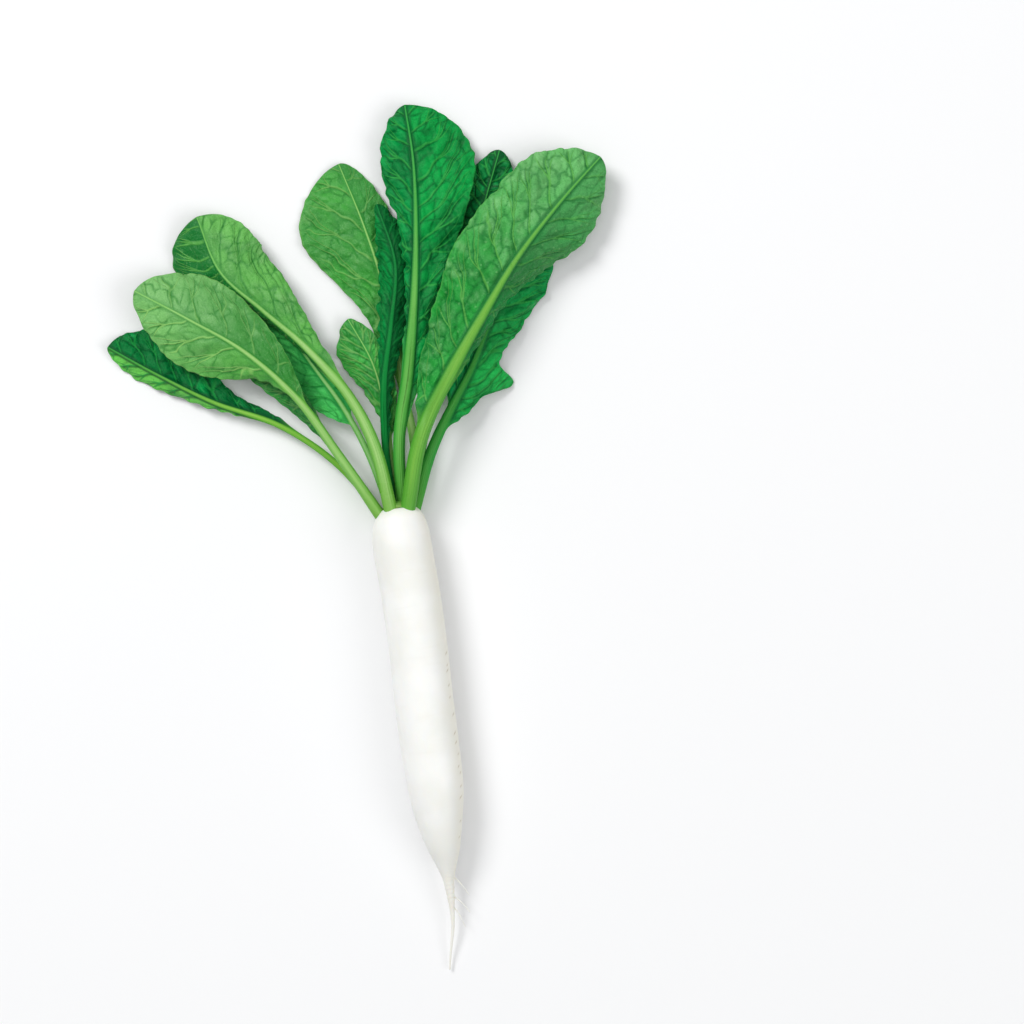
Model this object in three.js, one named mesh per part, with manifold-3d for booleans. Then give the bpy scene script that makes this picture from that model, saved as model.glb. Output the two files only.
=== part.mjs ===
import * as THREE from 'three';
import { mergeVertices } from 'three/addons/utils/BufferGeometryUtils.js';
import Module from 'manifold-3d';

// Daikon radish with its leaves, lying on its side.
// Millimetres; +X across, +Y along the root towards the leaves, +Z up.
// The origin is the middle of the small flat that the root rests on.

// Root
const crownY = 110; // from the resting flat's middle to the root's flat top
const axisHeight = 21.5; // root axis above the table, a little under the radius
const rootLength = 351;
const rootFacets = 36;

// Gaps and sheet thickness
const gap = 0.3; // between pieces that grow from one another
const halfSheet = 0.4; // half the thickness of a leaf blade
const acrossBlade = 5; // facets from the midrib to the margin

const wasm = await Module();
wasm.setup();

// A value read along an evenly spaced list, t from 0 at its first entry to 1 at its last
function along(list, t) {
  const p = Math.min(Math.max(t, 0), 1) * (list.length - 1);
  const i = Math.min(Math.floor(p), list.length - 2);
  const u = p - i;
  const a = list[Math.max(i - 1, 0)];
  const b = list[i];
  const c = list[i + 1];
  const d = list[Math.min(i + 2, list.length - 1)];
  const bend = (2 * a - 5 * b + 4 * c - d) * u * u + (3 * b - a - 3 * c + d) * u * u * u;
  return 0.5 * (2 * b + (c - a) * u + bend);
}

function mix(a, b, s) {
  return a + (b - a) * s;
}

function smooth(x) {
  const s = Math.min(Math.max(x, 0), 1);
  return s * s * (3 - 2 * s);
}

// Closes a stack of equal rings into one skin, with a fan on each end.
// Each ring is a list of points; opposite faces of a thin ring get the same diagonals.
function skin(rings) {
  const count = rings[0].length;
  const points = rings.flat();
  const faces = [];
  for (let k = 0; k < rings.length - 1; k += 1) {
    for (let i = 0; i < count; i += 1) {
      const a = k * count + i;
      const b = k * count + ((i + 1) % count);
      const c = a + count;
      const d = b + count;
      if (i < count / 2) {
        faces.push(a, b, d, a, d, c);
      } else {
        faces.push(a, b, c, b, d, c);
      }
    }
  }
  for (const end of [0, rings.length - 1]) {
    const middle = new THREE.Vector3();
    rings[end].forEach((point) => middle.addScaledVector(point, 1 / count));
    points.push(middle);
    for (let i = 0; i < count; i += 1) {
      const a = end * count + i;
      const b = end * count + ((i + 1) % count);
      if (end === 0) {
        faces.push(points.length - 1, b, a);
      } else {
        faces.push(points.length - 1, a, b);
      }
    }
  }
  const geometry = new THREE.BufferGeometry().setFromPoints(points);
  geometry.setIndex(faces);
  return geometry;
}

function solid(geometry) {
  return new wasm.Manifold(new wasm.Mesh({
    numProp: 3,
    vertProperties: new Float32Array(geometry.attributes.position.array),
    triVerts: new Uint32Array(geometry.index.array),
  }));
}

function shape(body) {
  const mesh = body.getMesh();
  const geometry = new THREE.BufferGeometry();
  geometry.setAttribute('position', new THREE.BufferAttribute(new Float32Array(mesh.vertProperties), 3));
  geometry.setIndex(Array.from(mesh.triVerts));
  return mergeVertices(geometry, 1e-4);
}

// A round rod through some points, its radius read along a list
function rod(points, radii, facets, steps) {
  const curve = new THREE.CatmullRomCurve3(points.map((p) => new THREE.Vector3(...p)), false, 'catmullrom', 0.5);
  const rings = [];
  for (let k = 0; k <= steps; k += 1) {
    const at = curve.getPoint(k / steps);
    const ahead = curve.getTangent(k / steps);
    const side = new THREE.Vector3().crossVectors(ahead, new THREE.Vector3(0, 0, 1)).normalize();
    const up = new THREE.Vector3().crossVectors(side, ahead);
    const radius = along(radii, k / steps);
    const ring = [];
    for (let i = 0; i < facets; i += 1) {
      const turn = (2 * Math.PI * i) / facets;
      ring.push(at.clone()
        .addScaledVector(side, -radius * Math.cos(turn))
        .addScaledVector(up, radius * Math.sin(turn)));
    }
    rings.push(ring);
  }
  return skin(rings);
}

// Root: distance behind the flat top, and radius there
const rootProfile = [
  [0, 6], [0, 11.6], [1.2, 14.4], [6.5, 18.2], [15, 20.8], [26, 21.9], [60, 22.1], [98, 22.1],
  [135, 22.1], [172, 22.1], [205, 21.2], [223, 19.5], [241, 16.4], [257, 12.4], [270, 7.8],
  [281, 4.5], [293, 3.1], [306, 1.8], [319, 1.3], [334, 0.9], [351, 0.6],
];
// Sideways and upward course of the root's axis, every tenth of its length
const rootSway = [-1.2, -1.5, 0, 0, -0.8, -0.8, -0.9, -0.9, -0.5, -2, -9];
const rootHeight = [21.5, 21.5, 21.5, 21.5, 21.5, 21.5, 21.5, 20.6, 16.6, 9.6, 3];

// The root's skin, grown outwards by some amount
function rootSkin(grow) {
  const rings = [];
  const outline = new THREE.SplineCurve(rootProfile.map((p) => new THREE.Vector2(p[0], p[1])));
  const steps = 34;
  for (let k = 0; k <= steps; k += 1) {
    const at = outline.getPoint(k / steps);
    const back = Math.max(at.x, 0);
    const t = back / rootLength;
    const radius = at.y + grow;
    const y = back < 0.01 ? grow : -back + grow * smooth(1 - back / 12);
    const ring = [];
    for (let i = 0; i < rootFacets; i += 1) {
      const turn = (2 * Math.PI * (i + 0.5)) / rootFacets;
      ring.push(new THREE.Vector3(
        along(rootSway, t) + radius * Math.cos(turn),
        y,
        along(rootHeight, t) + radius * Math.sin(turn),
      ));
    }
    rings.push(ring);
  }
  return skin(rings);
}

// Three thin side rootlets on the right of the tail
const rootlets = [
  [[1, -278, 16.6], [4.6, -281.5, 15.6], [8.5, -287, 14.4], [13.2, -296, 13]],
  [[-0.6, -293.5, 13.8], [3.4, -297, 12.8], [7.6, -302, 11.8], [12.2, -309, 11]],
  [[-1.2, -302.5, 11.8], [1.8, -305.5, 11], [4.2, -311, 10], [7, -319.5, 9]],
];

// Crown: the short stem on the flat top, as a low dome
function crownSkin(grow) {
  const outline = [[0, 11.5], [1.4, 11.3], [3, 9.9], [4.3, 7.8], [5.3, 5], [5.8, 2.2]];
  const rings = outline.map(([forward, radius], index) => {
    const ring = [];
    for (let i = 0; i < 24; i += 1) {
      const turn = (2 * Math.PI * i) / 24;
      ring.push(new THREE.Vector3(
        rootSway[0] + (radius + grow) * Math.cos(turn),
        index === 0 ? gap - grow * 4 : gap + forward + grow,
        axisHeight - (radius + grow) * Math.sin(turn),
      ));
    }
    return ring;
  });
  return skin(rings);
}

// Leaves. Each has:
// spine, its midrib from inside the root's top to the leaf's tip, from the middle of that top, height over the table;
// rib, radius of the stalk and midrib; roll, turn of the blade about the midrib in degrees, plus lifts the right half;
// left and right: half widths measured from the midrib, fold in degrees (plus is up), curl added towards the margin;
// wave: height of the ripples at the margin, their number, and where they start.
const leaves = {
  leaf_front: {
    spine: [
      [-14.3, -5, 24], [-39.7, 45.4, 31.5], [-64, 90.2, 36.5],
      [-97.4, 129.5, 38], [-136.5, 159.7, 33], [-175.5, 187.5, 22],
    ],
    rib: [4.5, 3.9, 3.5, 3.3, 2.9, 2.4, 2, 1.6, 1.3, 1, 0.7],
    roll: [0, 0, 0, -4, -6, -6],
    left: {
      width: [0, 0, 0, 0, 2.5, 9, 26, 35, 34, 29, 24],
      fold: [-30, -40, -45, -35, -20, -14, -14],
      curl: -14,
    },
    right: {
      width: [0, 0, 0, 0, 6, 17, 26, 34, 37, 36, 33],
      fold: [10, 10, 6, 4, 2, 0, 0],
      curl: -22,
    },
    wave: [1.6, 4, 0.1],
    stations: 24,
  },
  leaf_under: {
    spine: [[-13.5, -5, 16.8], [-38.5, 45, 21.5], [-62, 89, 24], [-88, 121, 23.5], [-112, 148, 20]],
    rib: [2, 2, 1.9, 1.8, 1.7, 1.5, 1.3, 1.1, 0.9, 0.8, 0.6],
    roll: [0, 0, 0, 0, 0],
    left: {
      width: [0, 0, 0, 4, 8, 11.5, 14, 15, 15, 13, 10],
      fold: [-6, -8, -10, -10, -8],
      curl: -12,
    },
    right: {
      width: [0, 0, 0, 0, 3, 5, 7, 9, 10, 10, 8],
      fold: [-6, -6, -8, -8, -8],
      curl: -12,
    },
    wave: [0.8, 4, 0.3],
    stations: 16,
  },
  leaf_second: {
    spine: [
      [-5.9, -5, 29.5], [-12.1, 48.5, 32], [-27.6, 90.7, 31], [-53.6, 128.9, 28],
      [-82, 160.5, 24.5], [-110, 193.5, 23], [-122.5, 237, 16.5],
    ],
    rib: [5.2, 4.9, 4.6, 4, 3.3, 2.7, 2.2, 1.8, 1.4, 1, 0.7],
    roll: [0, 0, 0, 0, 0, 4, 0],
    left: {
      width: [0, 0, 0, 3, 6, 9, 11, 14, 31, 41, 44],
      fold: [-40, -50, -60, -64, -66, -58, -24, -14],
      curl: -16,
    },
    right: {
      width: [0, 0, 0, 3, 6.5, 12, 22, 31, 36, 41, 47],
      fold: [10, 10, 8, 4, 0, 0],
      curl: -24,
    },
    wave: [1.4, 4, 0.6],
    stations: 26,
  },
  leaf_third: {
    spine: [
      [-6.8, -5, 17.8], [-17.8, 42.5, 19], [-32.4, 80.7, 16.5],
      [-50.6, 114.2, 13], [-70.1, 150.1, 10.5], [-90.1, 184.5, 8.5],
    ],
    rib: [3, 2.5, 2.3, 2.2, 2, 1.8, 1.6, 1.4, 1.1, 0.9, 0.6],
    roll: [0, 0, 0, 0, 0],
    left: {
      width: [0, 0, 0, 0, 14, 22, 26, 27, 26, 22, 18],
      fold: [-6, -6, -8, -10, -10],
      curl: -16,
    },
    right: {
      width: [0, 0, 0, 0, 6, 11, 14, 16, 16, 14, 12],
      fold: [-6, -6, -8, -10, -10],
      curl: -20,
    },
    wave: [1.8, 4, 0.3],
    stations: 20,
  },
  leaf_far_left: {
    spine: [
      [-12.3, -5, 11.6], [-44.5, 41, 11.6], [-82.8, 74.2, 12],
      [-128.2, 97.3, 14], [-168.2, 124, 12.5], [-202.9, 149.6, 7],
    ],
    rib: [3, 2.6, 2.4, 2.3, 2.1, 1.9, 1.7, 1.4, 1.1, 0.9, 0.6],
    roll: [0, 0, 0, 0, 0],
    left: {
      width: [0, 0, 0, 2.5, 3, 4, 7, 11, 14, 15, 14],
      fold: [-30, -40, -45, -48, -44, -34],
      curl: -6,
    },
    right: {
      width: [0, 0, 0, 2.5, 5, 9, 16, 22, 28, 33, 32],
      fold: [-4, -8, -12, -14, -14, -8],
      curl: -14,
    },
    wave: [1.4, 5, 0],
    stations: 22,
  },
  leaf_small: {
    spine: [
      [1.2, -5, 9], [-2, 30.2, 10], [-0.9, 58.4, 12], [-2.1, 86.5, 13], [-7.1, 114.4, 12.5], [-20.2, 146.5, 9],
    ],
    rib: [2.6, 2.4, 2.2, 2, 1.8, 1.6, 1.4, 1.2, 1, 0.8, 0.6],
    roll: [0, 0, 0, 0, 0],
    left: {
      width: [0, 0, 0, 0, 2, 7, 12, 17, 22, 25, 21],
      fold: [-14, -14, -16, -18, -16],
      curl: -8,
    },
    right: {
      width: [0, 0, 0, 0, 4, 9, 11, 12, 11, 12, 10],
      fold: [12, 12, 12, 12, 8],
      curl: -12,
    },
    wave: [1.8, 5, 0.2],
    stations: 22,
  },
  leaf_tall: {
    spine: [
      [6.6, -5, 6], [16.5, 41.7, 6.6], [14.3, 84.4, 6.6], [12.7, 126.6, 7],
      [9.3, 169, 8], [0.5, 216, 7.4], [-12, 264, 4.4],
    ],
    rib: [3.1, 3.4, 3.4, 3.2, 3, 2.6, 2.2, 1.8, 1.4, 1, 0.7],
    roll: [0, 0, 0, 0, 0],
    left: {
      width: [0, 0, 0, 3.5, 6, 12, 20, 33, 46, 52, 48],
      fold: [0, 0, 0, 2, 2, 0],
      curl: -14,
    },
    right: {
      width: [0, 0, 0, 3.5, 4.5, 8, 18, 23, 23, 22, 20],
      fold: [-4, -4, -4, -6, -6, -4],
      curl: -10,
    },
    wave: [1, 4, 0.5],
    stations: 24,
  },
  leaf_narrow: {
    spine: [
      [-4.3, -5, 11.5], [-4.5, 48.3, 19.5], [0.8, 93.7, 22.5], [11.9, 137.6, 22], [20.9, 182.6, 19], [12.7, 229.1, 13],
    ],
    rib: [3, 2.9, 2.7, 2.4, 2.2, 1.9, 1.7, 1.4, 1.1, 0.9, 0.6],
    roll: [0, 0, 0, 0, 0],
    left: {
      width: [0, 0, 0, 2.7, 4, 8, 12, 15, 16, 13, 8],
      fold: [-20, -24, -30, -34, -30, -20],
      curl: -12,
    },
    right: {
      width: [0, 0, 4, 6, 8, 10, 13, 17, 19, 17, 14],
      fold: [-16, -24, -30, -34, -30, -20],
      curl: -10,
    },
    wave: [1, 6, 0.2],
    stations: 22,
  },
  leaf_upright: {
    spine: [
      [1.5, -5, 18.7], [6.8, 51.3, 25.5], [20.6, 100.9, 29.5], [31.6, 151.7, 30],
      [39.7, 202.8, 28], [44.5, 254.4, 23], [43.7, 300, 15],
    ],
    rib: [4.2, 4.4, 4.5, 4.2, 3.7, 3.1, 2.6, 2.1, 1.6, 1.2, 0.8],
    roll: [0, 0, 0, 0, 0],
    left: {
      width: [0, 0, 5.5, 6.5, 7.5, 9, 12, 18, 26, 28, 24],
      fold: [-40, -50, -56, -52, -36, -20, -14],
      curl: -8,
    },
    right: {
      width: [0, 0, 6.5, 9.5, 13, 16, 25, 36, 46, 48, 44],
      fold: [-14, -14, -12, -8, -4, -4, -6],
      curl: -14,
    },
    wave: [1.8, 5, 0.4],
    stations: 28,
  },
  leaf_broad: {
    spine: [
      [5.3, -5, 28.5], [22.2, 47.7, 36.5], [49.4, 91.8, 41], [80.1, 133.1, 42],
      [112.4, 173.4, 39], [149.1, 210.2, 32], [184, 241, 22],
    ],
    rib: [5.7, 5.8, 5.6, 5, 4.3, 3.6, 2.9, 2.3, 1.8, 1.3, 0.8],
    roll: [0, 0, 0, 0, 0],
    left: {
      width: [0, 0, 8, 20, 29, 38, 45, 46, 45, 45, 36],
      fold: [2, 2, 2, 0, -2, -4],
      curl: -20,
    },
    right: {
      width: [0, 0, 0, 6.5, 10, 14, 20, 30, 36, 32, 26],
      fold: [-30, -40, -50, -56, -40, -16, -8],
      curl: -16,
    },
    wave: [2, 4, 0.2],
    stations: 28,
  },
  leaf_right: {
    spine: [
      [10.5, -5, 19.7], [27, 34.5, 22.5], [46.5, 66.5, 22], [67.5, 97, 20],
      [86.1, 129.6, 18], [109.7, 161.7, 16], [135.5, 190.8, 11],
    ],
    rib: [4.1, 4.3, 4.1, 3.7, 3.1, 2.7, 2.3, 1.8, 1.4, 1, 0.7],
    roll: [0, 0, 0, 0, 0],
    left: {
      width: [0, 0, 0, 0, 9, 14, 18, 20, 20, 19, 16],
      fold: [0, 0, 0, -4, -6, -6],
      curl: -10,
    },
    right: {
      width: [0, 0, 0, 7, 16, 16, 20, 25, 27, 28, 22],
      fold: [-10, -16, -20, -20, -18, -14],
      curl: -16,
    },
    lobe: [0.5185, 21, 0.06, 0.02],
    wave: [1.4, 4, 0.7],
    stations: 30,
  },
  leaf_back: {
    spine: [
      [8.4, -5, 12.3], [24.9, 48.1, 13.5], [43.6, 97.1, 11], [62.1, 145.3, 9], [82.1, 193.4, 9.5], [110, 258, 8],
    ],
    rib: [3, 2.8, 2.6, 2.4, 2.2, 2, 1.7, 1.4, 1.1, 0.9, 0.7],
    roll: [0, 0, 0, 0, 0],
    left: {
      width: [0, 0, 0, 0, 8, 15, 20, 24, 26, 25, 20],
      fold: [-4, -4, -6, -8, -6],
      curl: -10,
    },
    right: {
      width: [0, 0, 0, 0, 6, 12, 18, 23, 28, 30, 24],
      fold: [-6, -6, -8, -10, -8],
      curl: -10,
    },
    wave: [1.8, 6, 0.5],
    stations: 24,
  },
};

// Half width at t, with the last fifth rounded off like an ellipse.
// A lobe adds a pointed bump on the right: its place, its size, and its reach before and after that place.
function halfWidth(leaf, side, t) {
  const past = Math.max(t - 0.8, 0) / 0.2;
  const lobe = side === 'right' && leaf.lobe ? leaf.lobe : [0, 0, 1, 1];
  const reach = t < lobe[0] ? lobe[2] : lobe[3];
  const extra = lobe[1] * Math.exp(-(((t - lobe[0]) / reach) ** 2));
  return (Math.max(along(leaf[side].width, t), 0) + extra) * Math.sqrt(Math.max(1 - past * past, 0));
}

// One closed section of a leaf at t, grown by some amount
function leafRing(leaf, curve, t, grow) {
  const at = curve.getPoint(t);
  const ahead = curve.getTangent(t);
  const level = new THREE.Vector3().crossVectors(ahead, new THREE.Vector3(0, 0, 1)).normalize();
  const over = new THREE.Vector3().crossVectors(level, ahead);
  const roll = THREE.MathUtils.degToRad(along(leaf.roll, t));
  const across = level.clone().multiplyScalar(Math.cos(roll)).addScaledVector(over, Math.sin(roll));
  const up = over.clone().multiplyScalar(Math.cos(roll)).addScaledVector(level, -Math.sin(roll));
  const rib = along(leaf.rib, t);
  const [waveHeight, waveCount, waveStart] = leaf.wave;
  const open = {};
  for (const side of ['left', 'right']) {
    open[side] = smooth((halfWidth(leaf, side, t) - rib) / (1.5 * rib));
  }
  const tops = [];
  const bottoms = [];
  for (let i = -acrossBlade; i <= acrossBlade; i += 1) {
    const side = i < 0 ? 'left' : 'right';
    const sign = i < 0 ? -1 : 1;
    const step = Math.abs(i);
    const blade = Math.max(halfWidth(leaf, side, t) - rib, 0);
    const opening = i === 0 ? (open.left + open.right) / 2 : open[side];
    const round = rib * Math.sin((Math.PI / 2) * (step / acrossBlade));
    const flat = step < 2 ? 0.6 * rib * step : rib + (blade * (step - 2)) / (acrossBlade - 2);
    const out = mix(round, flat, opening);
    const past = Math.max(out - rib, 0);
    const share = blade > 0.01 ? past / blade : 0;
    const fold = THREE.MathUtils.degToRad(along(leaf[side].fold, t)) * opening;
    const curl = THREE.MathUtils.degToRad(leaf[side].curl) * opening;
    let angle = fold * Math.min(out / rib, 1);
    let x = out;
    let z = 0;
    if (past > 0) {
      angle = fold + curl * share;
      x = rib + (blade / curl) * (Math.sin(angle) - Math.sin(fold));
      z = -(blade / curl) * (Math.cos(angle) - Math.cos(fold));
    }
    const phase = 2 * Math.PI * (waveCount * t + waveStart + (i < 0 ? 0.37 : 0));
    z += waveHeight * share * share * Math.sin(phase) * Math.min(blade / 20, 1);
    const bulge = Math.sqrt(Math.max(1 - (out / rib) ** 2, 0)) * (rib - halfSheet);
    const above = halfSheet + grow + bulge * mix(1, 0.5, opening);
    const below = halfSheet + grow + bulge * mix(1, 1.1, opening);
    const top = [sign * (x - Math.sin(angle) * above), z + Math.cos(angle) * above];
    const bottom = [sign * (x + Math.sin(angle) * below), z - Math.cos(angle) * below];
    tops.push(at.clone().addScaledVector(across, top[0]).addScaledVector(up, top[1]));
    bottoms.push(at.clone().addScaledVector(across, bottom[0]).addScaledVector(up, bottom[1]));
  }
  return [...tops, ...bottoms.reverse()];
}

function leafSkin(leaf, grow) {
  const points = leaf.spine.map((p) => new THREE.Vector3(...p));
  const curve = new THREE.CatmullRomCurve3(points, false, 'catmullrom', 0.5);
  const rings = [];
  for (let k = 0; k <= leaf.stations; k += 1) {
    const u = k / leaf.stations;
    rings.push(leafRing(leaf, curve, 1 - (1 - u) ** 1.6, grow));
  }
  return skin(rings);
}

const rootFinish = new THREE.MeshStandardMaterial({ color: 0xf6f5ee, roughness: 0.45, metalness: 0 });
const crownFinish = new THREE.MeshStandardMaterial({ color: 0xb9cf6a, roughness: 0.5, metalness: 0 });
const leafFinish = new THREE.MeshStandardMaterial({ color: 0x4a9a3c, roughness: 0.45, metalness: 0 });

const group = new THREE.Group();
group.name = 'daikon_radish';

function add(name, geometry, finish) {
  geometry.translate(0, crownY, 0);
  const mesh = new THREE.Mesh(geometry, finish);
  mesh.name = name;
  group.add(mesh);
}

// Root with its rootlets, cut flat where it rests
let root = solid(rootSkin(0));
for (const path of rootlets) {
  root = root.add(solid(rod(path, [0.7, 0.6, 0.5, 0.35], 6, 6)));
}
const underTable = new THREE.BoxGeometry(200, 600, 60).translate(0, -150, -30);
root = root.subtract(solid(mergeVertices(underTable.deleteAttribute('normal').deleteAttribute('uv'))));
add('root', shape(root), rootFinish);

// Crown on the flat top
add('crown', crownSkin(0), crownFinish);

// Leaves, each cut back from the root and the crown it grows from
const rootCut = solid(rootSkin(gap));
const crownCut = solid(crownSkin(gap + 0.1));
for (const [name, leaf] of Object.entries(leaves)) {
  const whole = solid(leafSkin(leaf, 0));
  const pieces = whole.subtract(rootCut).subtract(crownCut).decompose();
  const largest = pieces.reduce((a, b) => (a.volume() > b.volume() ? a : b));
  add(name, shape(largest), leafFinish);
}

export default group;
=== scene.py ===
import math

import bpy
import numpy as np
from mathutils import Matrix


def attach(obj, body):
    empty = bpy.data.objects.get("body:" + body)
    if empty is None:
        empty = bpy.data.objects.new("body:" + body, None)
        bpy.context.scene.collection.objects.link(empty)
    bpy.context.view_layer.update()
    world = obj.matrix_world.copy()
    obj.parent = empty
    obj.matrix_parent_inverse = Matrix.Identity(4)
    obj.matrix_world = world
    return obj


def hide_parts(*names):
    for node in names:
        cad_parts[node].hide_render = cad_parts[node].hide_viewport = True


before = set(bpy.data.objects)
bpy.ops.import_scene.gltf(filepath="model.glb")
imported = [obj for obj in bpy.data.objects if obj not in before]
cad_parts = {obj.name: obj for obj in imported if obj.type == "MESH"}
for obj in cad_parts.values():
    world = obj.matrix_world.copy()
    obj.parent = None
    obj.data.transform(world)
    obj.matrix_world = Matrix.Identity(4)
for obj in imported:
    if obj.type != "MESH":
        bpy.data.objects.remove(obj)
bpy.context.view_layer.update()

# Camera
# It looks straight down on the radish, turned so that the root has the photograph's slant.
camera = bpy.data.objects.new("camera", bpy.data.cameras.new("camera"))
camera.data.lens = 100
camera.location = (0.0832, 0.0959, 2.155)
camera.rotation_euler = (0, 0, math.radians(-7.59))
bpy.context.collection.objects.link(camera)
bpy.context.scene.camera = camera

# Light
# A soft light from the upper left, a weaker one from the lower right, a broad one overhead, and pale
# surroundings. All three lamps face the same point of the radish.
LIT_POINT = (0, 0.1, 0)


def softbox(name, place, size, power):
    """A round area light, size in metres, turned to face the lit point: tipped from straight down by the
    angle whose cosine is its height over its distance, then turned about the vertical."""
    data = bpy.data.lights.new(name, "AREA")
    data.shape = "DISK"
    data.size = size
    data.energy = power
    lamp = bpy.data.objects.new(name, data)
    lamp.location = place
    away = np.array(place) - np.array(LIT_POINT)
    tip = math.acos(away[2] / np.linalg.norm(away))
    lamp.rotation_euler = (tip, 0, math.atan2(away[1], away[0]) + math.pi / 2)
    bpy.context.collection.objects.link(lamp)


softbox("key_light", place=(-1.9, 2.5, 3.4), size=2.0, power=132)
softbox("fill_light", place=(3.0, -1.3, 3.2), size=3.0, power=62)
softbox("top_light", place=(0.1, 0.1, 5.2), size=4.4, power=60)

world = bpy.data.worlds.new("surroundings")
world.use_nodes = True
surroundings = world.node_tree.nodes["Background"]
surroundings.inputs["Color"].default_value = (0.97, 0.99, 1.0, 1)
surroundings.inputs["Strength"].default_value = 0.31
bpy.context.scene.world = world
bpy.context.scene.view_settings.view_transform = "Standard"


# Floor
# A plain, pale and matt table top. It lies a hair below the radish and reaches far past it.
def blank_material(name):
    """A new material; gives it, its tree of nodes and its plain surface shader."""
    made = bpy.data.materials.new(name)
    made.use_nodes = True
    return made, made.node_tree, made.node_tree.nodes["Principled BSDF"]


FLOOR_REACH = 9
FLOOR_Z = -0.0003
corners = [(x * FLOOR_REACH, y * FLOOR_REACH, FLOOR_Z) for x, y in ((-1, -1), (1, -1), (1, 1), (-1, 1))]
floor_mesh = bpy.data.meshes.new("floor")
floor_mesh.from_pydata(corners, [], [(0, 1, 2, 3)])
floor = bpy.data.objects.new("floor", floor_mesh)
bpy.context.collection.objects.link(floor)
floor_paint, tree, shader = blank_material("floor_paint")
shader.inputs["Base Color"].default_value = (0.87, 0.87, 0.875, 1)
shader.inputs["Roughness"].default_value = 0.85
floor_mesh.materials.append(floor_paint)

# Root
# The white taproot is one firm growing body: a blunt flat top, a long straight middle, and a thin tail that
# sags to the table. Small root scars run in a row down each side, and fine lines cross its smooth skin.

# Where the root's flat top lies along Y. Every piece is worked out from there, in millimetres.
TOP_Y = 110.0


def along(values, t):
    """The value at t, 0 to 1, on a smooth curve through evenly spaced values, as in the solids: each
    stretch is the cubic that leaves and arrives with the slope between its neighbours."""
    values = np.asarray(values, float)
    p = np.clip(t, 0, 1) * (len(values) - 1)
    i = np.minimum(np.floor(p).astype(int), len(values) - 2)
    u = p - i
    a = values[np.maximum(i - 1, 0)]
    b = values[i]
    c = values[i + 1]
    d = values[np.minimum(i + 2, len(values) - 1)]
    bend = (2 * a - 5 * b + 4 * c - d) * u**2 + (3 * b - a - 3 * c + d) * u**3
    return 0.5 * (2 * b + (c - a) * u + bend)


def smooth(x):
    """Rises from 0 to 1 with level ends as x goes from 0 to 1: three x squared less two x cubed."""
    s = np.clip(x, 0, 1)
    return s * s * (3 - 2 * s)


def bell(x, width):
    """1 where x is 0, falling off to both sides: e to the power of minus the square of x over width."""
    return np.exp(-((x / width) ** 2))


def ripple(x, y, size, seed):
    """A soft random relief between about -1 and 1: a sum of seven sine waves of about the given length,
    each in its own random direction, scaled down."""
    rng = np.random.default_rng(seed)
    total = np.zeros(np.broadcast(x, y).shape)
    for _ in range(7):
        turn = rng.uniform(0, 2 * np.pi)
        pace = 2 * np.pi / (size * rng.uniform(0.7, 1.5))
        total += np.sin(pace * (x * np.cos(turn) + y * np.sin(turn)) + rng.uniform(0, 2 * np.pi))
    return total / 3.2


def skin(name, rings, layers):
    """Joins equal closed rings, in millimetres, into one closed mesh in metres with a fan on each end. Each
    layer is one number for each ring point, or one for all, kept as a mesh attribute."""
    n, m = rings.shape[:2]
    points = np.vstack((rings.reshape(-1, 3), rings[0].mean(0), rings[-1].mean(0)))
    points += (0, TOP_Y, 0)
    here = np.arange(n * m).reshape(n, m)
    after = np.roll(here, -1, axis=1)
    quads = np.stack((here[:-1], after[:-1], after[1:], here[1:]), -1).reshape(-1, 4)
    first = np.stack((np.full(m, n * m), after[0], here[0]), -1)
    last = np.stack((np.full(m, n * m + 1), here[-1], after[-1]), -1)
    mesh = bpy.data.meshes.new(name)
    mesh.from_pydata((points / 1000).tolist(), [], quads.tolist() + first.tolist() + last.tolist())
    for key, values in layers.items():
        values = np.broadcast_to(values, (n, m))
        values = np.concatenate((values.ravel(), (values[0].mean(), values[-1].mean())))
        mesh.attributes.new(key, "FLOAT", "POINT").data.foreach_set("value", values.astype(np.float32))
    mesh.shade_smooth()
    piece = bpy.data.objects.new(name, mesh)
    bpy.context.collection.objects.link(piece)
    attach(piece, "root")
    return piece


def tone(red, green, blue):
    """A colour named by its 0 to 255 screen values, as the light a shader works in: each to the power 2.2."""
    return tuple((value / 255) ** 2.2 for value in (red, green, blue))


def node(tree, kind, **settings):
    """Adds a shader node. A setting named after an input is its value or the socket to link, i0 to i9 are
    inputs by number, and the others are the node's properties."""
    made = tree.nodes.new(kind)
    numbered = {key for key in settings if key[0] == "i" and key[1:].isdigit()}
    for key in [key for key in settings if hasattr(made, key) and key not in numbered]:
        setattr(made, key, settings.pop(key))
    for key, value in settings.items():
        socket = made.inputs[int(key[1:])] if key in numbered else made.inputs[key.replace("_", " ")]
        if isinstance(value, bpy.types.NodeSocket):
            tree.links.new(value, socket)
        else:
            socket.default_value = value
    return made


def layer(tree, name):
    """The socket that reads one of the mesh's own layers."""
    return node(tree, "ShaderNodeAttribute", attribute_name=name).outputs["Fac"]


def noise(tree, place, scale, detail=3.0):
    """The socket of a cloudy 0 to 1 pattern; scale is in cycles to one unit of place."""
    return node(tree, "ShaderNodeTexNoise", Vector=place, Scale=scale, Detail=detail).outputs["Fac"]


def span(tree, value, low, high, to_low=0.0, to_high=1.0):
    """Maps low..high to to_low..to_high along an S curve, held at both ends."""
    made = node(tree, "ShaderNodeMapRange", Value=value, interpolation_type="SMOOTHSTEP")
    for key, number in (("From Min", low), ("From Max", high), ("To Min", to_low), ("To Max", to_high)):
        made.inputs[key].default_value = number
    return made.outputs["Result"]


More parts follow.
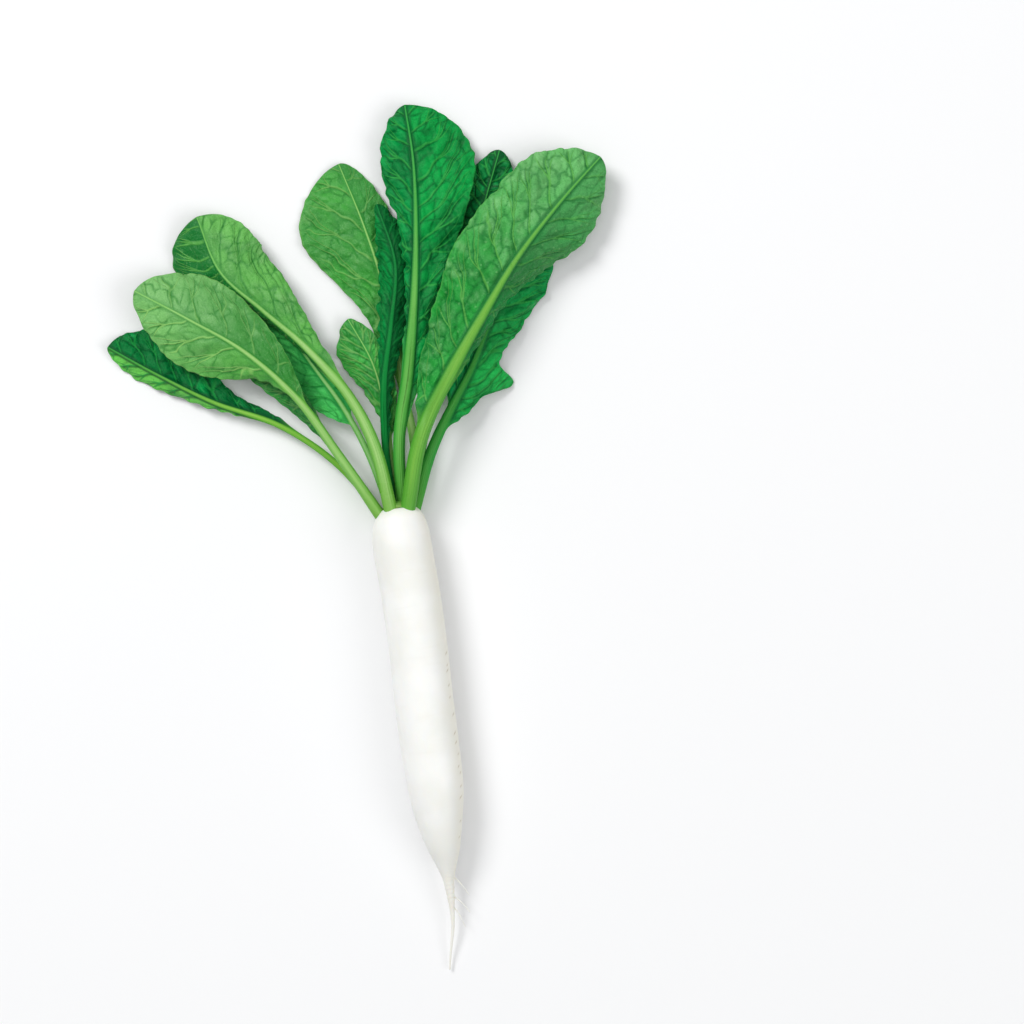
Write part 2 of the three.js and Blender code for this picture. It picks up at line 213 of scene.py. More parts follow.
def blend(tree, share, first, second):
    """Mixes two colours; each is a socket or red, green, blue."""
    made = tree.nodes.new("ShaderNodeMix")
    made.data_type = "RGBA"
    for index, value in ((0, share), (6, first), (7, second)):
        if isinstance(value, bpy.types.NodeSocket):
            tree.links.new(value, made.inputs[index])
        else:
            made.inputs[index].default_value = value if index == 0 else (*value, 1)
    return made.outputs[2]


def chain(tree, operation, *values):
    """Chains one arithmetic operation over sockets and numbers, from left to right."""
    total = values[0]
    for value in values[1:]:
        total = node(tree, "ShaderNodeMath", operation=operation, i0=total, i1=value).outputs[0]
    return total


def times(tree, *values):
    """The product of sockets and numbers."""
    return chain(tree, "MULTIPLY", *values)


# Down the root: how far back from the flat top, and the radius there
ROOT_PROFILE = np.array([
    (0, 6), (0, 11.6), (1.2, 14.4), (6.5, 18.2), (15, 20.8), (26, 21.9), (60, 22.1), (98, 22.1),
    (135, 22.1), (172, 22.1), (205, 21.2), (223, 19.5), (241, 16.4), (257, 12.4), (270, 7.8),
    (281, 4.5), (293, 3.1), (306, 1.8), (319, 1.3), (334, 0.9), (351, 0.6),
])
ROOT_LENGTH = 351

# At even steps down the root: how far its middle sways to the right, and how high it lies
ROOT_SWAY = (-1.2, -1.5, 0, 0, -0.8, -0.8, -0.9, -0.9, -0.5, -2, -9)
ROOT_HEIGHT = (21.5, 21.5, 21.5, 21.5, 21.5, 21.5, 21.5, 20.6, 16.6, 9.6, 3)

# Each row of scars: where they lie down the root, the turn round it from the right side, and their slant
RIGHT_ROW = (112, 121, 125, 136, 145, 158, 172, 179, 188, 197, 202, 212, 220, 238, 250)
LEFT_ROW = (70, 92, 119, 134, 156, 168, 187, 203, 219, 233, 247, 259)
SCAR_ROWS = ((RIGHT_ROW, 0.42, 0.55), (LEFT_ROW, math.pi - 0.1, -0.3))
SCAR_WIDTH, SCAR_DEPTH = 0.5, 0.3
LINE_WIDTH, LINE_DEPTH = 0.7, 0.04
DENT_LENGTH, DENT_DEPTH = 60, 0.2

# Reach of the pale shoulder, radius of the straight part, and the tail's beginning and blend into it
SHOULDER = 9
STRAIGHT_RADIUS = 22
TAIL_START, TAIL_BLEND = 262, 40


def off_turn(turn, middle):
    """The signed angle from middle to turn the shorter way round."""
    return np.angle(np.exp(1j * (turn - middle)))


def cross_lines(back, turn, rng):
    """Fine lines round parts of the root, from 0 to 1. Each is a bell curve across the line times a longer
    one along it, and strays along the root as the sine of twice the turn."""
    lines = np.zeros(np.broadcast(back, turn).shape)
    upper, lower = rng.uniform(8, 120, 34), rng.uniform(120, 300, 26)
    for at in np.concatenate((upper, lower)):
        middle, reach = rng.uniform(0, 2 * np.pi), rng.uniform(0.15, 0.5)
        stray = at + 0.7 * np.sin(turn * 2 + rng.uniform(0, 6))
        strength = rng.uniform(0.3, 1)
        lines += strength * bell(off_turn(turn, middle), reach) * bell(back - stray, LINE_WIDTH)
    return np.clip(lines, 0, 1)


def scar_pits(back, turn, girth, rng):
    """The root scars, from 0 to 1. Each is a bell curve round the root times a narrow one along it, taken
    from a line that slants across the skin."""
    scars = np.zeros(np.broadcast(back, turn).shape)
    for row, angle, slant in SCAR_ROWS:
        for at in row:
            middle, length = angle + rng.uniform(-0.07, 0.07), rng.uniform(0.9, 2.1)
            over_skin = off_turn(turn, middle) * girth
            scars += bell(over_skin, length) * bell(back - at - slant * over_skin, SCAR_WIDTH)
    return np.clip(scars, 0, 1)


# Rings at even distances over the profile
stations, around = ((460, 168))
fine = np.linspace(0, 1, 4000)
back, girth = along(ROOT_PROFILE[:, 0], fine), along(ROOT_PROFILE[:, 1], fine)
run = np.concatenate(((0,), np.cumsum(np.hypot(np.diff(back), np.diff(girth)))))
even = np.linspace(0, run[-1], stations)
back = np.maximum(np.interp(even, run, back), 0)[:, None]
girth = np.interp(even, run, girth)[:, None]
turn = (2 * np.pi * (np.arange(around) + 0.5) / around)[None, :]

# The radius: the girth with soft dents, sunk lines and scars, and a tail wrinkled by a sine along it
rng = np.random.default_rng(11)
lines = cross_lines(back, turn, rng)
scars = scar_pits(back, turn, girth, rng)
tail = smooth((back - TAIL_START) / TAIL_BLEND)
dents = ripple(back, STRAIGHT_RADIUS * np.cos(turn), size=DENT_LENGTH, seed=3)
dents = smooth((girth - 3) / 12) * dents * smooth(back / 30)
wrinkle = tail * np.sin(back * 1.9 + 1.3 * np.sin(turn + back * 0.11)) * 0.05 * girth
radius = girth + DENT_DEPTH * dents - LINE_DEPTH * lines + wrinkle - SCAR_DEPTH * scars * smooth(girth / 6)
rings = np.stack((
    along(ROOT_SWAY, back / ROOT_LENGTH) + radius * np.cos(turn),
    -back + 0 * turn,
    np.maximum(along(ROOT_HEIGHT, back / ROOT_LENGTH) + radius * np.sin(turn), 0),
), -1)
root_skin = skin("root_skin", rings, {
    "scar": scars,
    "line": lines,
    "tail": tail,
    "shoulder": smooth(1 - back / SHOULDER),
    # The right side, cream and partly painted shade
    "shaded_cream_side": smooth((np.cos(turn) - 0.55) / 0.45),
})
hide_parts("root")

# Waxy white in two close tones, with each mark laid over it by its share; the right side's cream is partly
# painted shade
root_paint, tree, shader = blank_material("root_paint")
place = node(tree, "ShaderNodeTexCoord").outputs["Object"]
cloud = noise(tree, place, scale=22)
fleck = noise(tree, place, scale=420, detail=2.0)
colour = blend(tree, span(tree, cloud, 0.35, 0.7), tone(242, 242, 239), tone(234, 234, 228))
for mark, share, tint in (
    ("line", 0.12, (214, 210, 196)),
    # A cream tint down the right side that is partly painted shade
    ("shaded_cream_side", 0.5, (234, 230, 212)),
    ("tail", 0.4, (228, 224, 208)),
    ("shoulder", 0.3, (228, 230, 205)),
    ("scar", 0.75, (164, 142, 98)),
):
    colour = blend(tree, times(tree, layer(tree, mark), share), colour, tone(*tint))
tree.links.new(colour, shader.inputs["Base Color"])
tree.links.new(span(tree, fleck, 0.3, 0.7, 0.36, 0.48), shader.inputs["Roughness"])
shader.inputs["Specular IOR Level"].default_value = 0.35
shader.inputs["Subsurface Weight"].default_value = 0.2
shader.inputs["Subsurface Radius"].default_value = (1.0, 0.8, 0.55)
shader.inputs["Subsurface Scale"].default_value = 0.003
bump = node(tree, "ShaderNodeBump", Height=fleck, Strength=0.12, Distance=0.0003)
tree.links.new(bump.outputs["Normal"], shader.inputs["Normal"])
root_skin.data.materials.append(root_paint)


# Rootlets
# Three thin side roots of the same white flesh as the taproot. They grow out of the right of its tail, bend
# back along it and taper to a thread.
def course(points, t):
    """Place and direction at t on the smooth curve through some points, as in the solids. Each stretch is a
    cubic; past each end the curve takes the mirror image of the first or last step."""
    points = np.asarray(points, float)
    points = np.vstack((2 * points[0] - points[1], points, 2 * points[-1] - points[-2]))
    p = np.clip(t, 0, 1) * (len(points) - 3)
    i = np.minimum(np.floor(p).astype(int), len(points) - 4)
    u = (p - i)[:, None]
    a, b, c, d = (points[i + k] for k in range(4))
    second = 2 * a - 5 * b + 4 * c - d
    third = 3 * b - a - 3 * c + d
    place = 0.5 * (2 * b + (c - a) * u + second * u**2 + third * u**3)
    ahead = 0.5 * ((c - a) + 2 * second * u + 3 * third * u**2)
    return place, ahead / np.linalg.norm(ahead, axis=1, keepdims=True)


def rod(points, radii, steps, facets):
    """Rings of a round rod along a course; the radius is read along a list."""
    t = np.linspace(0, 1, steps)
    place, ahead = course(points, t)
    side = np.cross(ahead, (0, 0, 1))
    side /= np.linalg.norm(side, axis=1, keepdims=True)
    up = np.cross(side, ahead)
    turn = (2 * np.pi * np.arange(facets) / facets)[:, None]
    radius = along(radii, t)[:, None, None]
    return place[:, None] + radius * (-side[:, None] * np.cos(turn) + up[:, None] * np.sin(turn))


ROOTLET_RADII = (0.7, 0.55, 0.42, 0.25)
ROOTLET_PATHS = (
    ((1, -278, 16.6), (4.6, -281.5, 15.6), (8.5, -287, 14.4), (13.2, -296, 13)),
    ((-0.6, -293.5, 13.8), (3.4, -297, 12.8), (7.6, -302, 11.8), (12.2, -309, 11)),
    ((-1.2, -302.5, 11.8), (1.8, -305.5, 11), (4.2, -311, 10), (7, -319.5, 9)),
)
for number, path in enumerate(ROOTLET_PATHS, 1):
    rings = rod(path, ROOTLET_RADII, steps=40, facets=12)
    rootlet = skin(f"rootlet_{number}", rings, {"scar": 0, "line": 0, "tail": 1, "shoulder": 0, "shaded_cream_side": 0})
    rootlet.data.materials.append(root_paint)

# Crown
# The radish's short stem, a low green dome that has grown onto the root's flat top. The leaf stalks rise
# from it, and the scars of fallen leaves ring it.

# Out from the root's flat top: how far forward, and the radius there
CROWN_PROFILE = np.array([(0, 11.5), (1.4, 11.3), (3, 9.9), (4.3, 7.8), (5.3, 5), (5.8, 2.2)])
CROWN_LENGTH = 5.8
CROWN_GAP = 0.3
u = np.linspace(0, 1, 60)
turn = (2 * np.pi * np.arange(96) / 96)[None, :]
forward = along(CROWN_PROFILE[:, 0], u)[:, None]
reach = along(CROWN_PROFILE[:, 1], u)[:, None]
leaf_scars = 0.5 + 0.5 * np.sin(forward * 5 + 0.8 * np.sin(3 * turn))
reach = reach - 0.25 * leaf_scars * smooth(reach / 6)
rings = np.stack((
    ROOT_SWAY[0] + reach * np.cos(turn),
    CROWN_GAP + forward + 0 * turn,
    ROOT_HEIGHT[0] - reach * np.sin(turn),
), -1)
crown_dome = skin("crown_dome", rings, {"high": forward / CROWN_LENGTH})
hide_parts("crown")

# Yellow-green, greener towards its tip, with brownish specks
crown_paint, tree, shader = blank_material("crown_paint")
place = node(tree, "ShaderNodeTexCoord").outputs["Object"]
colour = blend(tree, layer(tree, "high"), tone(120, 160, 72), tone(70, 135, 45))
colour = blend(tree, span(tree, noise(tree, place, scale=400), 0.5, 0.8, 0, 0.5), colour, tone(120, 110, 50))
tree.links.new(colour, shader.inputs["Base Color"])
shader.inputs["Roughness"].default_value = 0.5
crown_dome.data.materials.append(crown_paint)

# Leaves
# Each leaf is a juicy round stalk that rises from the crown and runs on as the midrib, with a blade on both
# sides. The thin blade is folded along the midrib, curls down to its rippled margin, and is quilted between
# its side veins and the net of small veins.

# Half the blade's thickness beside the midrib, the share of a half's steps that cross the midrib, the share
# of the leaf's length that is rounded off, and the size of the cells of the large and the small net
HALF_SHEET = 0.4
MIDRIB_SHARE = 0.25
ROUNDED_TIP = 0.2
CELL, SMALL_CELL = 10, 4

# The left margin's waves are shifted by this share of a wave, and a blade narrower than this waves less
WAVE_SHIFT, WAVE_WIDTH = 0.37, 20

# Each side vein forks this share of the way to the margin, and its two forks lean apart by these shares
FORK_AT, FORK_LEANS = 0.38, (0.95, -0.85)

UNDERSIDE = (128, 172, 112)


def cells(x, y, size, seed):
    """Random cells of the small-vein net. Each square of a grid, size in millimetres, holds one cell middle
    at random. Gives how much further the second nearest middle is than the nearest, and a random number for
    the cell. A random number here is the fraction of a large multiple of a sine of the square's place."""
    column, line = np.floor(x / size), np.floor(y / size)
    nearest = np.full(x.shape, 1e9)
    second = np.full(x.shape, 1e9)
    own = np.zeros(x.shape)
    for i in (-1, 0, 1):
        for j in (-1, 0, 1):
            a, b = column + i, line + j
            jitter_x = np.modf(np.abs(np.sin(a * 127.1 + b * 311.7 + seed) * 43758.5))[0]
            jitter_y = np.modf(np.abs(np.sin(a * 269.5 + b * 183.3 + seed) * 43758.5))[0]
            far = np.hypot(x - (a + jitter_x) * size, y - (b + jitter_y) * size)
            own = np.where(far < nearest, 0.5 * (jitter_x + jitter_y), own)
            second = np.minimum(second, np.maximum(nearest, far))
            nearest = np.minimum(nearest, far)
    return second - nearest, own


def half_width(leaf, side, t):
    """Half width at t, read along the leaf's list and rounded off over the last part as an ellipse is. A
    lobe adds a pointed bump on the right, a bell curve with its own reach before and after its middle."""
    past = np.maximum(t - (1 - ROUNDED_TIP), 0) / ROUNDED_TIP
    width = np.maximum(along(leaf[side][0], t), 0)
    if side == "right" and "lobe" in leaf:
        where, size, before, after = leaf["lobe"]
        width = width + size * bell(t - where, np.where(t < where, before, after))
    return width * np.sqrt(np.maximum(1 - past**2, 0))


def half_blade(leaf, side, t, q):
    """One half of the blade. q runs from 0 at the midrib's middle to 1 at the margin. Where the half is
    narrow it is a round stalk; where it is wide, its first steps cross the midrib, and the rest is an arc
    that leaves the midrib at the fold angle and has turned by the curl at the margin. Gives the place
    across and up, the angle there, the share of the way to the margin, the blade's width, how far it has
    opened from stalk to blade, and the distance from the midrib's middle along the blade."""
    _, folds, curl = leaf[side]
    rib = along(leaf["rib"], t)[:, None]
    blade = np.maximum(half_width(leaf, side, t)[:, None] - rib, 0)
    opening = smooth(blade / (1.5 * rib))
    round_out = rib * np.sin(0.5 * np.pi * q)
    blade_out = rib + blade * (q - MIDRIB_SHARE) / (1 - MIDRIB_SHARE)
    flat_out = np.where(q < MIDRIB_SHARE, rib * q / MIDRIB_SHARE, blade_out)
    out = round_out + (flat_out - round_out) * opening
    past = np.maximum(out - rib, 0)
    share = past / np.maximum(blade, 0.01)
    fold = np.radians(along(folds, t))[:, None] * opening
    curl = math.radians(curl) * np.maximum(opening, 0.02)
    angle = np.where(past > 0, fold + curl * share, fold * np.minimum(out / rib, 1))
    radius = blade / curl
    across = np.where(past > 0, rib + radius * (np.sin(angle) - np.sin(fold)), out)
    up = np.where(past > 0, -radius * (np.cos(angle) - np.cos(fold)), 0)
    height, count, start = leaf["wave"]
    phase = 2 * np.pi * (count * t + start + (WAVE_SHIFT if side == "left" else 0))[:, None]
    up = up + height * share**2 * np.sin(phase) * np.minimum(blade / WAVE_WIDTH, 1)
    return {
        "across": across, "up": up, "angle": angle, "share": share,
        "blade": blade + 0 * share, "opening": opening + 0 * share, "out": out,
    }


def leaf_skin(name, leaf, seed):
    """The leaf's closed skin. Its upper and lower face are the halves' surfaces moved along their own
    normal: by half the sheet's thickness, by the midrib's bulge, and both alike by the relief. Side veins
    leave the midrib at an even spacing and bend towards the tip; each is where a running count is whole."""
    stations, across = leaf["grid"]

    # The leaf's course, and the directions across and over it
    t = 1 - (1 - np.linspace(0, 1, stations)) ** 1.3
    place, ahead = course(leaf["spine"], t)
    level = np.cross(ahead, (0, 0, 1))
    level /= np.linalg.norm(level, axis=1, keepdims=True)
    over = np.cross(level, ahead)
    roll = np.radians(along(leaf.get("roll", (0, 0)), t))[:, None]
    side = level * np.cos(roll) + over * np.sin(roll)
    up = over * np.cos(roll) - level * np.sin(roll)

    # Both halves as one sheet from the left margin to the right one
    q = np.linspace(0, 1, across + 1)[None, :]
    left, right = half_blade(leaf, "left", t, q), half_blade(leaf, "right", t, q)
    x, z, angle, share, blade, opening, out = (
        np.concatenate((left[key][:, :0:-1], right[key]), axis=1) for key in left
    )
    opening[:, across] = 0.5 * (left["opening"][:, 0] + right["opening"][:, 0])
    sign = np.concatenate((-np.ones(across), np.ones(across + 1)))[None, :]
    steps = np.linalg.norm(np.diff(place, axis=0), axis=1)
    run = np.concatenate(((0,), np.cumsum(steps)))[:, None] + 0 * x
    far = t[:, None] + 0 * x
    rib = along(leaf["rib"], t)[:, None]
    lateral = sign * out
    past = np.maximum(out - rib, 0)

    # Side veins: how far along the leaf each point's vein started, also counted in vein spacings
    spacing, lean = (np.where(sign < 0, *pair) for pair in zip(*leaf["veins"]))
    start = run - lean * past - 0.006 * past**2 + 4 * ripple(lateral, run, size=45, seed=seed)
    count = start / spacing + 0.2 * sign
    off_vein = np.abs(count - np.round(count)) * spacing * 0.8
    reach = opening * smooth((1.02 - share) / 0.3) * smooth(past / 0.8)
    vein = bell(off_vein, 0.5 + 0.7 * (1 - share)) * reach

    # Relief: pillows in the small-vein net, ridges between the side veins, broad puckers, a crinkled margin
    quilt, ridge, pucker, crinkle = leaf["relief"]
    ground = opening * smooth(past / 3) * smooth((1 - far) / 0.03)
    wobble_x = lateral + 1.8 * ripple(lateral, run, size=14, seed=seed + 1)
    wobble_y = run - 0.5 * past + 1.8 * ripple(lateral, run, size=14, seed=seed + 2)
    inside, own = cells(wobble_x, wobble_y, leaf.get("cells", CELL), seed)
    small_inside = cells(wobble_x, wobble_y, SMALL_CELL, seed + 5)[0]
    calm = np.where(sign < 0, *leaf.get("calm", (1, 1)))
    relief = quilt * (0.6 - np.exp(-inside / 2.2)) * ground
    relief += 0.3 * quilt * (1 - np.exp(-small_inside)) * ground
    relief += ridge * (np.abs(np.sin(np.pi * count)) ** 0.7 - 0.6) * ground * smooth((1.05 - share) / 0.3)
    wide = smooth(blade / 12)
    relief += pucker * ripple(lateral, start, size=24, seed=seed + 3) * ground * wide
    relief += 0.3 * pucker * ripple(lateral, run, size=7, seed=seed + 6) * ground * wide
    relief *= calm
    drift = 2.5 * ripple(run, 0 * run, size=40, seed=seed + 4)
    relief += crinkle * share**3 * np.sin(run * 0.5 + drift) * ground
    fray = crinkle * 0.6 * share**4 * ripple(run, 40 * sign + 0 * run, size=9, seed=seed + 7) * ground

    # The two faces: the midrib bulges more below, and fine ridges run along the stalk
    fluting = 0.1 * np.cos(6 * np.pi * out / rib) * (1 - opening) * smooth(run / 12)
    bulge = np.sqrt(np.maximum(1 - (out / rib) ** 2, 0)) * (rib - HALF_SHEET)
    sheet = HALF_SHEET * (1 - 0.45 * share * opening)
    above = sheet + bulge * (1 - 0.5 * opening) + fluting
    below = sheet + bulge * (1 + 0.1 * opening) + fluting + 0.25 * vein
    side, up, place = side[:, None], up[:, None], place[:, None]
    normal = -(sign * np.sin(angle))[..., None] * side + np.cos(angle)[..., None] * up
    middle = place + (sign * (x + fray))[..., None] * side + z[..., None] * up
    top = middle + (relief + above)[..., None] * normal
    bottom = middle + (relief - below)[..., None] * normal
    bottom[..., 2] = np.maximum(bottom[..., 2], 0)
    top[..., 2] = np.maximum(top[..., 2], bottom[..., 2].clip(0, 0.3) + 0.1)
    rings = np.concatenate((top, bottom[:, ::-1]), axis=1)

    # The layers, alike on the upper face and, in the other order, on the lower one
    slim = 1 - 0.6 * opening * smooth(far / 0.9)
    layers = {
        "rib": smooth((slim * rib * 1.02 - out) / ((0.3 + 0.4 * opening) * rib) + 0.5),
        # Where shade is painted beside the midrib and down the stalk's sides
        "rib_side": smooth(out / rib) * smooth((3 - past) / 3),
        "stalk": 1 - opening,
        "count": count,
        "reach": reach,
        "net": bell(inside, 1.1) * ground,
        "small_net": bell(small_inside, 0.7) * ground,
        "cell": own,
        "hump": (1 - calm * np.exp(-inside / 3.5)) * ground,
        "lateral": lateral,
        "run": run,
        "far": far,
        "edge": share * opening,
        "left": np.where(sign < 0, 1.0, 0.0) + 0 * x,
        "foot": smooth(1 - run / 45),
    }
    layers = {key: np.concatenate((values, values[:, ::-1]), axis=1) for key, values in layers.items()}
    layers["under"] = np.concatenate((np.zeros(x.shape), np.ones(x.shape)), axis=1)
    piece = skin(name, rings, layers)
    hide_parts(name.removesuffix("_blade"))
    return piece


def off_whole(tree, count):
    """How far a count is from the nearest whole number, once a half has been added to it: its fraction less
    a half, without the sign."""
    part = node(tree, "ShaderNodeMath", operation="FRACT", i0=count).outputs[0]
    part = chain(tree, "SUBTRACT", part, 0.5)
    return node(tree, "ShaderNodeMath", operation="ABSOLUTE", i0=part).outputs[0]


def side_veins(tree, leaf, flat):
    """The side veins and the painted shadow at the foot of each, as shares from 0 to 1. A vein is where the
    count, which strays a little, is whole; two more counts lean away from it past the fork. How far the
    nearest is from whole, times the gap between veins, is the distance from the vein, which thins towards the
    margin."""
    edge, reach = layer(tree, "edge"), layer(tree, "reach")
    stray = span(tree, noise(tree, flat, scale=0.05, detail=1.0), 0.3, 0.7, -0.1, 0.1)
    count = chain(tree, "ADD", layer(tree, "count"), stray, 0.5)
    forked = chain(tree, "MAXIMUM", chain(tree, "SUBTRACT", edge, FORK_AT), 0.0)
    forks = [chain(tree, "ADD", count, times(tree, forked, lean)) for lean in (0.0, *FORK_LEANS)]
    left_gap, right_gap = (spacing / math.hypot(1, lean) for spacing, lean in leaf["veins"])
    gap = span(tree, layer(tree, "left"), 0.0, 1.0, right_gap, left_gap)
    beside = times(tree, chain(tree, "MINIMUM", *(off_whole(tree, fork) for fork in forks)), gap)
    width = span(tree, edge, 0.1, 0.9, 1.2, 0.6)
    vein = times(tree, span(tree, chain(tree, "DIVIDE", beside, width), 0.2, 1.0, 1, 0), reach)
    # A band of painted shadow a little past each vein
    below = chain(tree, "ADD", count, chain(tree, "DIVIDE", 0.9, gap))
    below = times(tree, off_whole(tree, below), gap)
    return vein, times(tree, span(tree, below, 0.2, 1.7, 1, 0), reach)


def leaf_paint(name, leaf, seed):
    """Leaf colour from the leaf's own layers. Each half has its green, in soft clouds; on some leaves a half
    is painted darker as shade, on others lighter to make up for shade. The cells of the small-vein net differ
    a little, and some on the domes are painted pale as sheen; the net itself is sunk and painted darker as
    shade, and so are the hollows. Side veins are pale, raised cords with painted shadow at their foot, the
    margin has a thin painted highlight and beads carry painted glints. Stalk and midrib are paler still and
    finely striped, with painted shade down their sides and beside the midrib."""
    looks = leaf["looks"]
    made, tree, shader = blank_material(name)
    left, far, edge, stalk, hump, small_net, rib_side = (
        layer(tree, key) for key in ("left", "far", "edge", "stalk", "hump", "small_net", "rib_side")
    )
    blade = chain(tree, "SUBTRACT", 1.0, stalk)

    # Patterns over the flattened leaf, in cycles to the millimetre, each leaf on its own part of them; the
    # net of small veins fades in and out
    flat = node(tree, "ShaderNodeCombineXYZ", X=layer(tree, "lateral"), Y=layer(tree, "run"), Z=seed * 37.0)
    flat = flat.outputs[0]
    broad = noise(tree, flat, scale=0.035, detail=2.0)
    patch = noise(tree, flat, scale=0.07, detail=6.0)
    grain = noise(tree, flat, scale=0.9, detail=4.0)
    net_shows = span(tree, noise(tree, flat, scale=0.06, detail=2.0), 0.38, 0.62, 0.1, 1)
    net = times(tree, layer(tree, "net"), net_shows)
    dots = node(tree, "ShaderNodeTexVoronoi", voronoi_dimensions="2D", Vector=flat, Scale=0.08)
    bead = times(tree, span(tree, dots.outputs["Distance"], 0.05, 0.09, 1, 0), blade, looks["beads"])
    long_grain = node(tree, "ShaderNodeMapping", Vector=flat, Scale=(0.8, 0.02, 1)).outputs[0]
    stripe = span(tree, noise(tree, long_grain, scale=1.0), 0.38, 0.62)
    vein, vein_shadow = side_veins(tree, leaf, flat)

    # Shares that differ from half to half, and the cells that are painted pale as sheen: in their middles on
    # the domes, away from the midrib and past the leaf's lower part. The hollow between the domes takes
    # painted shade
    tip, bloom, show = (
        span(tree, left, 0.0, 1.0, looks[key][1], looks[key][0]) for key in ("tip", "bloom", "show")
    )
    sheen_cell = times(
        tree, span(tree, layer(tree, "cell"), 0.2, 0.8, 0.4, 1), hump,
        span(tree, edge, 0.1, 0.8, 0.5, 1), span(tree, far, 0.25, 0.55, 0.3, 1),
    )
    # Where painted shade lies, low between the domes
    hollow = span(tree, hump, 0.0, 0.7, 1, 0)

    # The blade's coats, one over the other: the leaf's own tones, with painted sheen, shade, shadow,
    # highlight and glints
    colour = blend(tree, left, tone(*looks["right"]), tone(*looks["left"]))
    for share, coat in (
        (span(tree, broad, 0.42, 0.66, 0, 0.55), "deep"),
        (times(tree, span(tree, far, 0.5, 1.0), tip), "pale"),
        # Painted sheen: pale patches on the domes of the net's cells
        (times(tree, span(tree, patch, 0.45, 0.7), sheen_cell, bloom), "pale"),
        (span(tree, grain, 0.54, 0.72, 0, looks["fleck"]), "pale"),
        (span(tree, grain, 0.46, 0.3, 0, 0.3), "deep"),
        # Painted shade in the hollows between the domes
        (times(tree, hollow, blade, looks["quilted"]), "deep"),
        # Painted shade in the sunk lines of the small and the large net
        (times(tree, small_net, 0.12), "deep"),
        (times(tree, net, looks["net"]), "deep"),
        # Painted shadow at the foot of each side vein
        (times(tree, vein_shadow, 0.6), "deep"),
        (times(tree, vein, show), "vein"),
        # A thin painted highlight along the margin
        (span(tree, edge, 0.955, 1.0, 0, 0.35), "vein"),
        # Painted glints on the beads
        (times(tree, bead, 0.5), "pale"),
        # Painted shade on the blade beside the midrib
        (times(tree, rib_side, blade, looks["groove"]), "deep"),
    ):
        colour = blend(tree, share, colour, tone(*looks[coat]))

    # Stalk and midrib with their stripes and the painted shade down their sides, the stalk's foot, and the
    # duller underside
    rib_colour = blend(tree, span(tree, far, 0.45, 1.0), tone(*looks["rib"]), tone(*looks["vein"]))
    # Painted shade down the sides of the stalk and midrib; the stripes take the same darker green
    for share in (times(tree, stripe, 0.35), rib_side):
        rib_colour = blend(tree, share, rib_colour, tone(*looks["rib_side"]))
    for share in (layer(tree, "rib"), stalk):
        colour = blend(tree, share, colour, rib_colour)
    colour = blend(tree, times(tree, layer(tree, "foot"), 0.7), colour, tone(*looks["foot"]))
    colour = blend(tree, times(tree, layer(tree, "under"), blade, 0.35), colour, tone(*UNDERSIDE))
    tree.links.new(colour, shader.inputs["Base Color"])

    # Gloss in patches, more of it on the stalk
    rough = chain(tree, "SUBTRACT", span(tree, patch, 0.35, 0.7, 0.5, 0.32), times(tree, stalk, 0.1))
    tree.links.new(rough, shader.inputs["Roughness"])
    shader.inputs["Specular IOR Level"].default_value = looks["gloss"]

    # Fine relief, and a little light let through the blade
    height = times(tree, vein, 0.35)
    height = chain(tree, "SUBTRACT", height, times(tree, net, 0.3), times(tree, small_net, 0.12))
    height = chain(tree, "ADD", height, times(tree, grain, blade, 0.5), times(tree, bead, 0.45))
    height = chain(tree, "ADD", height, times(tree, stripe, stalk, 0.05))
    bump = node(tree, "ShaderNodeBump", Height=height, Strength=1.0, Distance=0.001)
    tree.links.new(bump.outputs["Normal"], shader.inputs["Normal"])
    glow = node(tree, "ShaderNodeBsdfTranslucent", Color=colour)
    mixed = node(tree, "ShaderNodeMixShader", i0=0.1, i1=shader.outputs[0], i2=glow.outputs[0])
    tree.links.new(mixed.outputs[0], tree.nodes["Material Output"].inputs["Surface"])
    return made


# The looks of a light and a dark leaf. Colours: left and right half, deep for clouds and for painted shade,
# pale for the tip, flecks, painted sheen and glints, side veins, rib and the painted shade of its sides and
# stripes, and the stalk's foot. Shares, left and right: how much the side veins show, the tip pales and
# painted sheen lies
# on it. Shares for the whole leaf: painted shade beside the midrib, flecks, the net's painted shade, painted
# shade in the hollows, beads with painted glints, and gloss.
LIGHT_LEAF = {
    "left": (88, 172, 72), "right": (50, 136, 50), "deep": (40, 126, 46), "pale": (136, 200, 118),
    "vein": (140, 200, 104), "rib": (162, 206, 122), "rib_side": (106, 180, 68), "foot": (112, 170, 64),
    "show": (0.75, 0.3), "tip": (0.7, 0.8), "bloom": (0.6, 0.9), "groove": 0.3, "fleck": 0.3, "net": 0.65,
    "quilted": 0.15, "beads": 0.0, "gloss": 0.28,
}
DARK_LEAF = {
    "left": (4, 130, 58), "right": (12, 142, 60), "deep": (2, 80, 40), "pale": (44, 168, 84),
    "vein": (56, 168, 74), "rib": (104, 180, 74), "rib_side": (58, 154, 56), "foot": (86, 160, 56),
    "show": (0.7, 0.7), "tip": (0.1, 0.1), "bloom": (0.6, 0.6), "groove": 0.6, "fleck": 0.15, "net": 0.4,
    "quilted": 0.35, "beads": 0.0, "gloss": 0.12,
}

